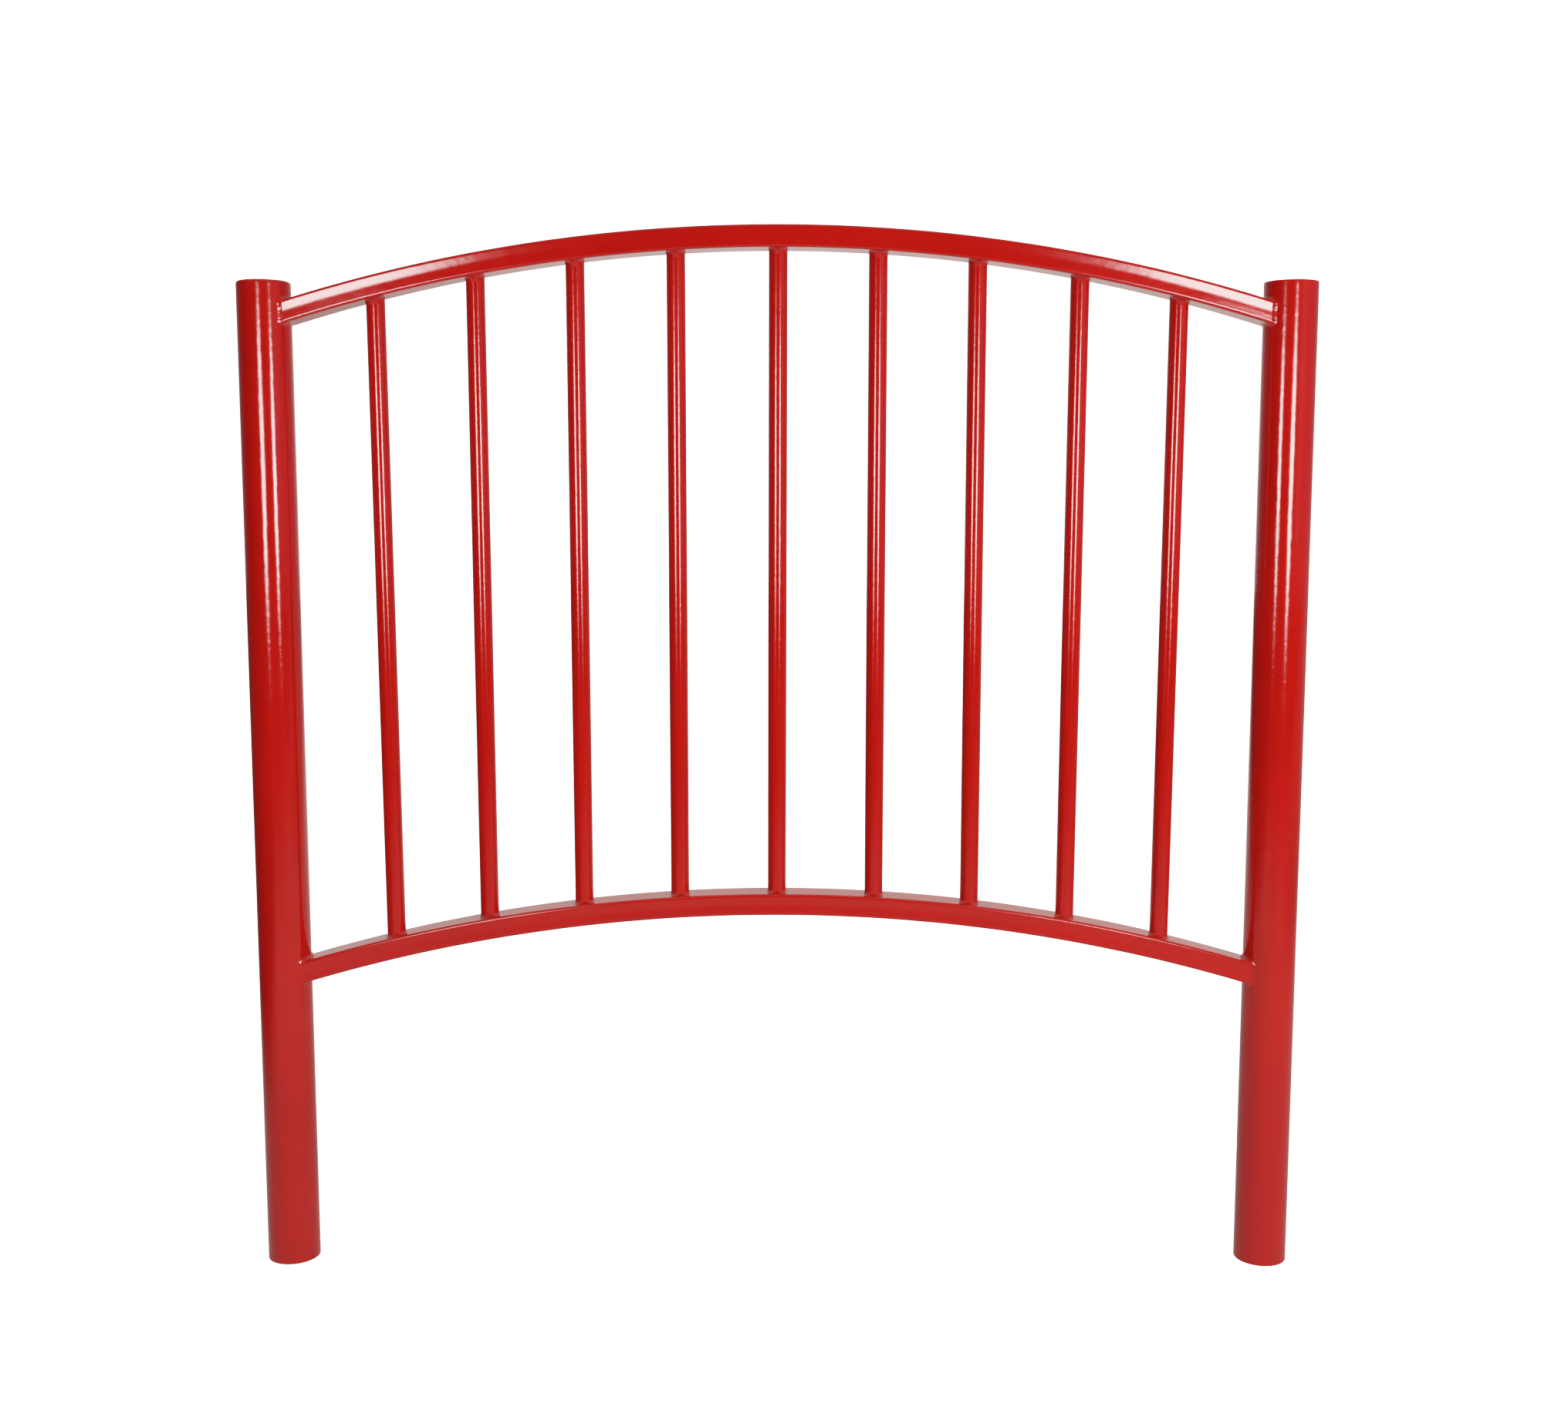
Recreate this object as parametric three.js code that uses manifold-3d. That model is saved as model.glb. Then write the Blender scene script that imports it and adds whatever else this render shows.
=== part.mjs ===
// Arched barrier panel of welded steel tube: two round posts, an arched top
// rail and an arched bottom rail of flattened box section, and nine round
// bars between them. Every joint carries a weld bead. Units are millimetres,
// +Z is up, +X runs along the panel and +Y through its thickness. The origin
// is on the ground line, midway between the two posts.

import * as THREE from 'three';
import { mergeVertices } from 'three/addons/utils/BufferGeometryUtils.js';
import Module from 'manifold-3d';

// ---------------------------------------------------------------- dimensions

const POST_OD = 60.3;            // 2 in nominal bore steel tube
const POST_WALL = 3.2;
const POST_HALF_SPACING = 578;   // post axis from the middle of the panel
const POST_HEIGHT = 1143;        // ground line to the top of the cap
const CAP_THICKNESS = 4;         // flat disc welded on each post
const CAP_EDGE_LEFT = 2.5;       // rounding of the cap's upper edge
const CAP_EDGE_RIGHT = 1.2;

const RAIL_HEIGHT = 25;          // 40 x 25 box section laid flat
const RAIL_DEPTH = 40;
const RAIL_WALL = 2;
const RAIL_CORNER = 3;           // outside corner radius
const TOP_RAIL_Z = 1100;         // centre line where it meets the post axis
const TOP_RAIL_RISE = 91.5;      // arch rise at the middle
const BOTTOM_RAIL_Z = 343;
const BOTTOM_RAIL_RISE = 89.5;

const BAR_OD = 21.3;             // 1/2 in nominal bore steel tube
const BAR_WALL = 2.6;
// Bar axes where they reach each rail. The bars fan out very slightly.
const BAR_X_TOP = [-452.3, -339.4, -227.1, -113.7, 1.4, 113.8, 225.5, 340.6, 452.5];
const BAR_X_BOTTOM = [-445.9, -336.1, -225.1, -113.0, 0.0, 113.0, 224.7, 336.5, 447.4];

const BEAD_RISE = 4.6;           // weld round each bar: leg up the bar
const BEAD_SIDE = 3.6;           // its leg on the rail to the left and right
const BEAD_FRONT = 7;            // and to the front and back, out to the rail's edge
const BEAD_RADIUS = 4.2;         // bead round each rail end
const GAP = 0.3;                 // clearance between neighbouring solids

const ARC_STEPS = 40;
const POST_SIDES = 48;
const BAR_SIDES = 24;

const RED = 0xbe1a14;

// ------------------------------------------------------------ solid modelling

const wasm = await Module();
wasm.setup();

function toSolid(geometry) {
  const g = geometry.clone();
  g.deleteAttribute('normal');
  g.deleteAttribute('uv');
  const merged = mergeVertices(g, 1e-4);
  return new wasm.Manifold(new wasm.Mesh({
    numProp: 3,
    vertProperties: new Float32Array(merged.attributes.position.array),
    triVerts: new Uint32Array(merged.index.array),
  }));
}

function toGeometry(solid) {
  const mesh = solid.getMesh();
  const g = new THREE.BufferGeometry();
  g.setAttribute('position', new THREE.BufferAttribute(new Float32Array(mesh.vertProperties), 3));
  g.setIndex(new THREE.BufferAttribute(new Uint32Array(mesh.triVerts), 1));
  const flat = g.toNonIndexed();
  flat.computeVertexNormals();
  return flat;
}

// ------------------------------------------------------------- arch geometry

class Arch {
  constructor(zEnd, rise) {
    const s = POST_HALF_SPACING;
    this.radius = (s * s + rise * rise) / (2 * rise);
    this.centre = zEnd + rise - this.radius;
  }

  z(x, offset = 0) {                       // height of the curve offset outwards
    const r = this.radius + offset;
    return this.centre + Math.sqrt(r * r - x * x);
  }

  slope(x, offset = 0) {                   // dz/dx of the same curve
    const r = this.radius + offset;
    return -x / Math.sqrt(r * r - x * x);
  }
}

const topArch = new Arch(TOP_RAIL_Z, TOP_RAIL_RISE);
const bottomArch = new Arch(BOTTOM_RAIL_Z, BOTTOM_RAIL_RISE);

// A curved bar of rectangular section, standing in the XZ plane and centred
// on y = 0. grow adds the same amount to every face.
function archBar(arch, height, depth, corner, grow = 0, steps = ARC_STEPS) {
  const h = height / 2 + grow;
  const half = Math.asin(POST_HALF_SPACING / arch.radius);
  const outer = arch.radius + h;
  const inner = arch.radius - h;
  const shape = new THREE.Shape();
  for (let i = 0; i <= steps; i++) {
    const a = -half + (2 * half * i) / steps;
    const p = [outer * Math.sin(a), arch.centre + outer * Math.cos(a)];
    if (i === 0) shape.moveTo(...p); else shape.lineTo(...p);
  }
  for (let i = steps; i >= 0; i--) {
    const a = -half + (2 * half * i) / steps;
    shape.lineTo(inner * Math.sin(a), arch.centre + inner * Math.cos(a));
  }
  shape.closePath();
  const full = depth + 2 * grow;
  const g = new THREE.ExtrudeGeometry(shape, corner > 0 ? {
    depth: full - 2 * corner, steps: 1,
    bevelEnabled: true, bevelThickness: corner, bevelSize: corner,
    bevelOffset: -corner, bevelSegments: 3,
  } : { depth: full, steps: 1, bevelEnabled: false });
  // The extrusion runs along +Z: turn the drawing plane upright.
  g.translate(0, 0, corner > 0 ? -(full - 2 * corner) / 2 : -full / 2);
  g.rotateX(Math.PI / 2);
  return g;
}

function post(radius, z0, z1, x, sides = POST_SIDES) {
  const g = new THREE.CylinderGeometry(radius, radius, z1 - z0, sides);
  g.rotateX(Math.PI / 2);
  g.translate(x, 0, (z0 + z1) / 2);
  return g;
}

// ------------------------------------------------------------------- pieces

const panel = new THREE.Group();
panel.name = 'arched_barrier_panel';

function addPiece(name, geometry, roughness = 0.25) {
  const mesh = new THREE.Mesh(geometry, new THREE.MeshStandardMaterial({
    color: RED, roughness, metalness: 0,
  }));
  mesh.name = name;
  panel.add(mesh);
  return mesh;
}

const POST_R = POST_OD / 2;
const SIDES = [['left', -1], ['right', 1]];

// Posts: open tubes, profile closed on itself and turned about the post axis.
function tubeProfile(outer, inner, z0, z1) {
  return [
    new THREE.Vector2(outer, z0), new THREE.Vector2(outer, z1),
    new THREE.Vector2(inner, z1), new THREE.Vector2(inner, z0),
    new THREE.Vector2(outer, z0),
  ];
}

for (const [side, sign] of SIDES) {
  const tubeTop = POST_HEIGHT - CAP_THICKNESS - GAP;
  const tube = new THREE.LatheGeometry(
    tubeProfile(POST_R, POST_R - POST_WALL, 0, tubeTop), POST_SIDES);
  tube.rotateX(Math.PI / 2);
  const mesh = addPiece(`post_${side}`, tube);
  mesh.position.x = sign * POST_HALF_SPACING;

  // Flat cap, its upper edge ground round.
  const r = side === 'left' ? CAP_EDGE_LEFT : CAP_EDGE_RIGHT;
  const z0 = POST_HEIGHT - CAP_THICKNESS;
  const profile = [new THREE.Vector2(0, z0), new THREE.Vector2(POST_R, z0)];
  for (let i = 0; i <= 3; i++) {
    const a = (i / 3) * Math.PI / 2;
    profile.push(new THREE.Vector2(POST_R - r + r * Math.cos(a), POST_HEIGHT - r + r * Math.sin(a)));
  }
  profile.push(new THREE.Vector2(0, POST_HEIGHT));
  const cap = new THREE.LatheGeometry(profile, POST_SIDES);
  cap.rotateX(Math.PI / 2);
  addPiece(`post_cap_${side}`, cap).position.x = sign * POST_HALF_SPACING;
}

// Rails: hollow arched box section, the ends fish-mouthed round the posts.
function postClearance(extra) {
  const left = toSolid(post(POST_R + extra, -10, POST_HEIGHT + 200, -POST_HALF_SPACING));
  const right = toSolid(post(POST_R + extra, -10, POST_HEIGHT + 200, POST_HALF_SPACING));
  return left.add(right);
}

const postsGrown = postClearance(GAP);

const railGrown = {};
for (const [name, arch] of [['top_rail', topArch], ['bottom_rail', bottomArch]]) {
  const outside = toSolid(archBar(arch, RAIL_HEIGHT, RAIL_DEPTH, RAIL_CORNER));
  const inside = toSolid(archBar(arch, RAIL_HEIGHT - 2 * RAIL_WALL, RAIL_DEPTH - 2 * RAIL_WALL, 0));
  addPiece(name, toGeometry(outside.subtract(inside).subtract(postsGrown)));
  railGrown[name] = toSolid(archBar(arch, RAIL_HEIGHT, RAIL_DEPTH, RAIL_CORNER, GAP));
}

// Bars: straight tubes, each end cut to the rail it meets.
const bars = BAR_X_TOP.map((xt, i) => {
  const xb = BAR_X_BOTTOM[i];
  const low = new THREE.Vector3(xb, 0, bottomArch.z(xb));
  const high = new THREE.Vector3(xt, 0, topArch.z(xt));
  return { low, high, axis: high.clone().sub(low).normalize() };
});

function onAxis(geometry, from, axis) {    // local +Z along axis, origin at from
  const q = new THREE.Quaternion().setFromUnitVectors(new THREE.Vector3(0, 0, 1), axis);
  geometry.applyMatrix4(new THREE.Matrix4().compose(from, q, new THREE.Vector3(1, 1, 1)));
  return geometry;
}

bars.forEach((bar, i) => {
  const length = bar.high.distanceTo(bar.low);
  const tube = new THREE.LatheGeometry(
    tubeProfile(BAR_OD / 2, BAR_OD / 2 - BAR_WALL, 0, length), BAR_SIDES);
  tube.rotateX(Math.PI / 2);
  onAxis(tube, bar.low, bar.axis);
  const cut = toSolid(tube).subtract(railGrown.top_rail).subtract(railGrown.bottom_rail);
  addPiece(`bar_${i + 1}`, toGeometry(cut));
});

// Fillet welds round the bar ends: a turned ring, drawn out to the front and
// back and sheared so that its foot lies along the slope of the rail.
function fillet(direction) {
  const inner = BAR_OD / 2 + GAP;
  const foot = GAP + 0.05;
  const profile = [
    new THREE.Vector2(inner, foot * direction),
    new THREE.Vector2(inner + BEAD_SIDE, foot * direction),
    new THREE.Vector2(inner + BEAD_SIDE * 0.5, (foot + BEAD_RISE * 0.4) * direction),
    new THREE.Vector2(inner, (foot + BEAD_RISE) * direction),
    new THREE.Vector2(inner, foot * direction),
  ];
  if (direction < 0) profile.reverse();
  const g = new THREE.LatheGeometry(profile, BAR_SIDES);
  g.rotateX(Math.PI / 2);
  const p = g.attributes.position;
  for (let i = 0; i < p.count; i++) {
    const [x, y] = [p.getX(i), p.getY(i)];
    const r = Math.hypot(x, y);
    const out = r - inner;
    if (out < 1e-3) continue;
    const s = (y / r) * (y / r);
    const k = (inner + out * (1 + s * (BEAD_FRONT / BEAD_SIDE - 1))) / r;
    p.setXY(i, x * k, y * k);
  }
  return g;
}

bars.forEach((bar, i) => {
  const lean = Math.atan2(bar.axis.x, bar.axis.z);
  for (const [end, arch, direction] of [['top', topArch, -1], ['bottom', bottomArch, 1]]) {
    const offset = -direction * -RAIL_HEIGHT / 2;      // underside or top face
    let x = end === 'top' ? bar.high.x : bar.low.x;
    for (let k = 0; k < 6; k++) {                      // where the axis meets the face
      const z = arch.z(x, offset);
      x = bar.low.x + (z - bar.low.z) * (bar.axis.x / bar.axis.z);
    }
    const z = arch.z(x, offset);
    const slope = Math.tan(Math.atan(arch.slope(x, offset)) + lean);
    const g = fillet(direction);
    const shear = new THREE.Matrix4().set(
      1, 0, 0, 0,
      0, 1, 0, 0,
      slope, 0, 1, 0,
      0, 0, 0, 1);
    g.applyMatrix4(shear);
    onAxis(g, new THREE.Vector3(x, 0, z), bar.axis);
    addPiece(`weld_bar_${i + 1}_${end}`, g, 0.3);
  }
});

// Welds where the rails meet the posts: a round bead along the edge of the
// fish-mouth, cut clear of both tubes.
class JointPath extends THREE.Curve {
  constructor(arch, sign, from, to) {
    super();
    Object.assign(this, { arch, sign, from, to });
    const h = RAIL_HEIGHT / 2, d = RAIL_DEPTH / 2, r = RAIL_CORNER;
    this.corners = [];
    for (const [cy, cu, a0] of [[d - r, h - r, 0], [-(d - r), h - r, 90], [-(d - r), -(h - r), 180], [d - r, -(h - r), 270]]) {
      for (let k = 0; k <= 3; k++) {
        const a = THREE.MathUtils.degToRad(a0 + k * 30);
        this.corners.push([cy + r * Math.cos(a), cu + r * Math.sin(a)]);
      }
    }
    this.corners.push(this.corners[0]);
    this.lengths = [0];
    for (let k = 1; k < this.corners.length; k++) {
      const [a, b] = [this.corners[k - 1], this.corners[k]];
      this.lengths.push(this.lengths[k - 1] + Math.hypot(b[0] - a[0], b[1] - a[1]));
    }
  }

  getPoint(t, target = new THREE.Vector3()) {
    const total = this.lengths[this.lengths.length - 1];
    let s = ((this.from + t * (this.to - this.from)) % 1 + 1) % 1 * total;
    let k = 1;
    while (k < this.lengths.length - 1 && this.lengths[k] < s) k++;
    const f = (s - this.lengths[k - 1]) / (this.lengths[k] - this.lengths[k - 1] || 1);
    const [a, b] = [this.corners[k - 1], this.corners[k]];
    const y = a[0] + f * (b[0] - a[0]);
    const u = a[1] + f * (b[1] - a[1]);
    const x = this.sign * (POST_HALF_SPACING - Math.sqrt(POST_R * POST_R - y * y));
    return target.set(x, y, this.arch.z(x, u));
  }
}

const postsCut = postClearance(GAP);
for (const [rail, arch] of [['top_rail', topArch], ['bottom_rail', bottomArch]]) {
  for (const [side, sign] of SIDES) {
    const section = new THREE.Shape();
    for (let k = 0; k < 8; k++) {
      const a = (k / 8) * Math.PI * 2;
      const p = [BEAD_RADIUS * Math.cos(a), BEAD_RADIUS * Math.sin(a)];
      if (k === 0) section.moveTo(...p); else section.lineTo(...p);
    }
    section.closePath();
    // Two overlapping halves close the loop.
    const halves = [[0.06, 0.58], [0.56, 1.08]].map(([a, b]) => toSolid(
      new THREE.ExtrudeGeometry(section, { steps: 18, extrudePath: new JointPath(arch, sign, a, b) })));
    const bead = halves[0].add(halves[1]).subtract(postsCut).subtract(railGrown[rail]);
    addPiece(`weld_${rail}_${side}`, toGeometry(bead), 0.3);
  }
}

export default panel;
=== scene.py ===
"""Arched barrier panel of welded, painted steel tube: the finished meshes and
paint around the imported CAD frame. Metres, +Z up, the front faces -Y."""
import bpy
import math
import numpy as np
from mathutils import Matrix, Vector


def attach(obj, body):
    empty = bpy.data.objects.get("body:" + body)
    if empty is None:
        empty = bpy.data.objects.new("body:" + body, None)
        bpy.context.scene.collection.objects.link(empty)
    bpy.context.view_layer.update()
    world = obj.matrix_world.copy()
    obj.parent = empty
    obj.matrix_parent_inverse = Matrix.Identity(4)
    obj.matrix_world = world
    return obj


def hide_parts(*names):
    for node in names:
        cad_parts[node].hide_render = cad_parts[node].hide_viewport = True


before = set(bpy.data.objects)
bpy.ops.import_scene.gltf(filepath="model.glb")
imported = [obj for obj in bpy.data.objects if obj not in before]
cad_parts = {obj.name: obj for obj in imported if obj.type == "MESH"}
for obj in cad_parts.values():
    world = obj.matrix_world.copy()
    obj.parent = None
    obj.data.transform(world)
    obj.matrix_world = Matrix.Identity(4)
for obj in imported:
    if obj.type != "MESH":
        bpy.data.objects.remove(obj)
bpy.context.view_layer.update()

# ------------------------------------------------------------------ dimensions
S = 0.578               # post axis from the middle
RP, WALL = 0.03015, 0.0032
HP, CAP = 1.143, 0.004
H, D, RC, RW = 0.0125, 0.020, 0.003, 0.002      # rail: half height, half depth, corner, wall
RB, BW = 0.01065, 0.0026
XT = [-0.4523, -0.3394, -0.2271, -0.1137, 0.0014, 0.1138, 0.2255, 0.3406, 0.4525]
XB = [-0.4459, -0.3361, -0.2251, -0.1130, 0.0, 0.1130, 0.2247, 0.3365, 0.4474]


class Arch:
    def __init__(self, z_end, rise):
        self.r = (S * S + rise * rise) / (2 * rise)
        self.c = z_end + rise - self.r

    def z(self, x, off=0.0):
        return self.c + np.sqrt((self.r + off) ** 2 - np.asarray(x) ** 2)


TOP = Arch(1.100, 0.0915)
BOT = Arch(0.343, 0.0895)


# --------------------------------------------------------------------- helpers
def waves(p, size, seed, n=16):
    """Smooth noise, about -1 to 1, with features of the given size in metres."""
    rng = np.random.default_rng(seed)
    k = rng.normal(size=(n, 3))
    k /= np.linalg.norm(k, axis=1)[:, None]
    k *= (2 * np.pi / size) * rng.uniform(0.6, 1.5, (n, 1))
    return np.sin(p @ k.T + rng.uniform(0, 2 * np.pi, n)).sum(-1) / math.sqrt(n)


def ring_noise(t, cycles, seed, n=7):
    """Noise round a closed path, t from 0 to 1, about -1 to 1."""
    rng = np.random.default_rng(seed)
    out = np.zeros_like(t)
    for _ in range(n):
        f = rng.integers(max(1, int(cycles * 0.5)), int(cycles * 1.6) + 2)
        out += np.sin(2 * np.pi * f * t + rng.uniform(0, 2 * np.pi))
    return out / math.sqrt(n)


def smooth(a, b, x):
    t = np.clip((x - a) / (b - a), 0, 1)      # a may be above b, for a fall
    return t * t * (3 - 2 * t)


def make_object(name, verts, faces, material, attrs=None):
    me = bpy.data.meshes.new(name)
    me.from_pydata(verts.reshape(-1, 3).tolist(), [], faces)
    me.update()
    tri = me.vertices
    co = np.array([v.co[:] for v in tri])
    vol = 0.0
    for f in faces[:: max(1, len(faces) // 4000)]:
        pass
    me.calc_loop_triangles()
    idx = np.array([t.vertices[:] for t in me.loop_triangles])
    a, b, c = co[idx[:, 0]], co[idx[:, 1]], co[idx[:, 2]]
    vol = (a * np.cross(b, c)).sum()
    if vol < 0:
        me.flip_normals()
    me.polygons.foreach_set("use_smooth", [True] * len(me.polygons))
    for key, values in (attrs or {}).items():
        at = me.attributes.new(key, "FLOAT", "POINT")
        at.data.foreach_set("value", np.asarray(values, float).ravel())
    me.materials.append(material)
    me.update()
    ob = bpy.data.objects.new(name, me)
    bpy.context.scene.collection.objects.link(ob)
    return ob


def torus(name, v, material, attrs=None):
    """A closed skin from a grid of points that wraps round both ways."""
    n, m = v.shape[:2]
    i, j = np.meshgrid(np.arange(n), np.arange(m), indexing="ij")
    i2, j2 = (i + 1) % n, (j + 1) % m
    faces = np.stack([i * m + j, i2 * m + j, i2 * m + j2, i * m + j2], -1).reshape(-1, 4).tolist()
    return make_object(name, v, faces, material, attrs)


# ------------------------------------------------------------------- materials
def paint(name, peel=1.0, wave=1.0, rough=0.115, nibs=1.0, tint=0.0):
    """Glossy red enamel over steel: colour drift, orange peel, nibs and haze."""
    mat = bpy.data.materials.new(name)
    mat.use_nodes = True
    nt = mat.node_tree
    nt.nodes.clear()
    N, L = nt.nodes.new, nt.links.new

    def noise(scale, detail=2.0, rough_=0.5, dist=0.0):
        n = N("ShaderNodeTexNoise")
        n.inputs["Scale"].default_value = scale
        n.inputs["Detail"].default_value = detail
        n.inputs["Roughness"].default_value = rough_
        n.inputs["Distortion"].default_value = dist
        L(tc.outputs["Object"], n.inputs["Vector"])
        return n

    def ramp(socket, stops):
        r = N("ShaderNodeValToRGB")
        el = r.color_ramp.elements
        while len(el) < len(stops):
            el.new(0.5)
        for e, (pos, col) in zip(el, stops):
            e.position, e.color = pos, col
        L(socket, r.inputs["Fac"])
        return r

    def grey(v):
        return (v, v, v, 1)

    def mix(kind, a, b, fac):
        m = N("ShaderNodeMix")
        m.data_type = "RGBA"
        m.blend_type = kind
        for s, val in ((m.inputs["Factor"], fac), (m.inputs[6], a), (m.inputs[7], b)):
            if isinstance(val, (int, float)):
                s.default_value = val
            elif isinstance(val, tuple):
                s.default_value = val
            else:
                L(val, s)
        return m.outputs[2]

    def math_(op, a, b=None):
        m = N("ShaderNodeMath")
        m.operation = op
        for s, val in zip(m.inputs, (a, b)):
            if val is None:
                continue
            if isinstance(val, (int, float)):
                s.default_value = val
            else:
                L(val, s)
        return m.outputs[0]

    tc = N("ShaderNodeTexCoord")
    out = N("ShaderNodeOutputMaterial")
    p = N("ShaderNodeBsdfPrincipled")
    L(p.outputs["BSDF"], out.inputs["Surface"])
    p.inputs["Metallic"].default_value = 0.0
    p.inputs["IOR"].default_value = 1.5
    p.inputs["Specular IOR Level"].default_value = 0.5

    # Colour: a slow drift in film thickness, a fine mottle, and thin paint on crests.
    drift = ramp(noise(7.0, 3.0).outputs["Fac"],
                 [(0.30, (0.450 + tint, 0.0068, 0.0042, 1)), (0.70, (0.502 + tint, 0.0084, 0.0054, 1))])
    fine = ramp(noise(520.0, 3.0, 0.6).outputs["Fac"], [(0.30, grey(0.955)), (0.70, grey(1.0))])
    col = mix("MULTIPLY", drift.outputs["Color"], fine.outputs["Color"], 1.0)
    cloud = ramp(noise(48.0, 4.0, 0.55, 0.4).outputs["Fac"], [(0.35, grey(0.965)), (0.65, grey(1.0))])
    col = mix("MULTIPLY", col, cloud.outputs["Color"], 1.0)
    edge = N("ShaderNodeAttribute")
    edge.attribute_name = "edge"
    thin = ramp(noise(210.0, 4.0, 0.65).outputs["Fac"], [(0.42, grey(0.0)), (0.66, grey(1.0))])
    thin_f = math_("MULTIPLY", math_("MULTIPLY", edge.outputs["Fac"], thin.outputs["Color"]), 0.30)
    col = mix("MIX", col, (0.30, 0.010, 0.008, 1), thin_f)
    L(col, p.inputs["Base Color"])

    # Roughness: gloss with a little haze, fingermarks and rubbed edges.
    haze = ramp(noise(16.0, 5.0, 0.6, 0.6).outputs["Fac"], [(0.35, grey(rough * 0.86)), (0.72, grey(rough * 1.28))])
    speck = ramp(noise(900.0, 2.0, 0.5).outputs["Fac"], [(0.55, grey(0.0)), (0.80, grey(0.05))])
    r = math_("ADD", haze.outputs["Color"], speck.outputs["Color"])
    r = math_("ADD", r, math_("MULTIPLY", thin_f, 0.35))
    L(r, p.inputs["Roughness"])

    # Relief: orange peel at two scales, a slow ripple, and dust nibs under the paint.
    b1 = N("ShaderNodeBump")
    b1.inputs["Strength"].default_value = 1.0
    b1.inputs["Distance"].default_value = 0.000055 * peel
    L(noise(430.0, 2.0, 0.5).outputs["Fac"], b1.inputs["Height"])
    b2 = N("ShaderNodeBump")
    b2.inputs["Strength"].default_value = 1.0
    b2.inputs["Distance"].default_value = 0.00016 * wave
    L(noise(120.0, 1.0, 0.5, 0.2).outputs["Fac"], b2.inputs["Height"])
    L(b1.outputs["Normal"], b2.inputs["Normal"])
    vor = N("ShaderNodeTexVoronoi")
    vor.inputs["Scale"].default_value = 34.0
    L(tc.outputs["Object"], vor.inputs["Vector"])
    bead = ramp(vor.outputs["Distance"], [(0.0, grey(1.0)), (0.026, grey(0.0))])
    bead.color_ramp.interpolation = "EASE"
    sep = N("ShaderNodeSeparateColor")
    L(vor.outputs["Color"], sep.inputs["Color"])
    spat = N("ShaderNodeAttribute")              # spatter lies close to the welds
    spat.attribute_name = "spat"
    bar_at = math_("SUBTRACT", 0.92, math_("MULTIPLY", spat.outputs["Fac"], 0.55))
    some = math_("GREATER_THAN", sep.outputs[0], bar_at)
    b3 = N("ShaderNodeBump")
    b3.inputs["Strength"].default_value = 1.0
    b3.inputs["Distance"].default_value = 0.00016 * nibs
    L(math_("MULTIPLY", bead.outputs["Color"], some), b3.inputs["Height"])
    L(b2.outputs["Normal"], b3.inputs["Normal"])
    # weld spatter: small beads crowded near the joints
    vor2 = N("ShaderNodeTexVoronoi")
    vor2.inputs["Scale"].default_value = 250.0
    L(tc.outputs["Object"], vor2.inputs["Vector"])
    bead2 = ramp(vor2.outputs["Distance"], [(0.0, grey(1.0)), (0.24, grey(0.0))])
    bead2.color_ramp.interpolation = "EASE"
    sep2 = N("ShaderNodeSeparateColor")
    L(vor2.outputs["Color"], sep2.inputs["Color"])
    hit = math_("MULTIPLY", math_("GREATER_THAN", sep2.outputs[0], 0.62), spat.outputs["Fac"])
    b4 = N("ShaderNodeBump")
    b4.inputs["Strength"].default_value = 1.0
    b4.inputs["Distance"].default_value = 0.00006
    L(math_("MULTIPLY", bead2.outputs["Color"], hit), b4.inputs["Height"])
    L(b3.outputs["Normal"], b4.inputs["Normal"])
    # roll marks: fine lines that follow the curve of a rail
    mark = N("ShaderNodeAttribute")
    mark.attribute_name = "mark"
    across = N("ShaderNodeAttribute")
    across.attribute_name = "across"
    osep = N("ShaderNodeSeparateXYZ")
    L(tc.outputs["Object"], osep.inputs[0])
    comb = N("ShaderNodeCombineXYZ")
    L(math_("MULTIPLY", osep.outputs["X"], 38.0), comb.inputs["X"])
    L(math_("MULTIPLY", across.outputs["Fac"], 900.0), comb.inputs["Y"])
    lines = N("ShaderNodeTexNoise")
    lines.inputs["Scale"].default_value = 1.0
    lines.inputs["Detail"].default_value = 2.0
    L(comb.outputs[0], lines.inputs["Vector"])
    b5 = N("ShaderNodeBump")
    b5.inputs["Strength"].default_value = 1.0
    b5.inputs["Distance"].default_value = 0.00009
    L(math_("MULTIPLY", lines.outputs["Fac"], mark.outputs["Fac"]), b5.inputs["Height"])
    L(b4.outputs["Normal"], b5.inputs["Normal"])
    L(b5.outputs["Normal"], p.inputs["Normal"])
    return mat


post_paint = paint("post_paint", peel=0.60, wave=0.80, rough=0.105)
cap_paint = paint("cap_paint", peel=0.50, wave=0.60, rough=0.13)
rail_paint = paint("rail_paint", peel=0.42, wave=0.34, rough=0.098)
bar_paint = paint("bar_paint", peel=0.50, wave=0.60, rough=0.105)
weld_paint = paint("weld_paint", peel=0.60, wave=0.80, rough=0.11, nibs=1.0)


# ----------------------------------------------------------------------- posts
def lathe_loop(profile, sides):
    """Grid (profile, sides) of a closed profile of (r, z) turned about Z."""
    a = np.linspace(0, 2 * np.pi, sides, endpoint=False)
    pr = np.array(profile)
    v = np.empty((len(pr), sides, 3))
    v[..., 0] = pr[:, :1] * np.cos(a)
    v[..., 1] = pr[:, :1] * np.sin(a)
    v[..., 2] = pr[:, 1:2]
    return v


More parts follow.
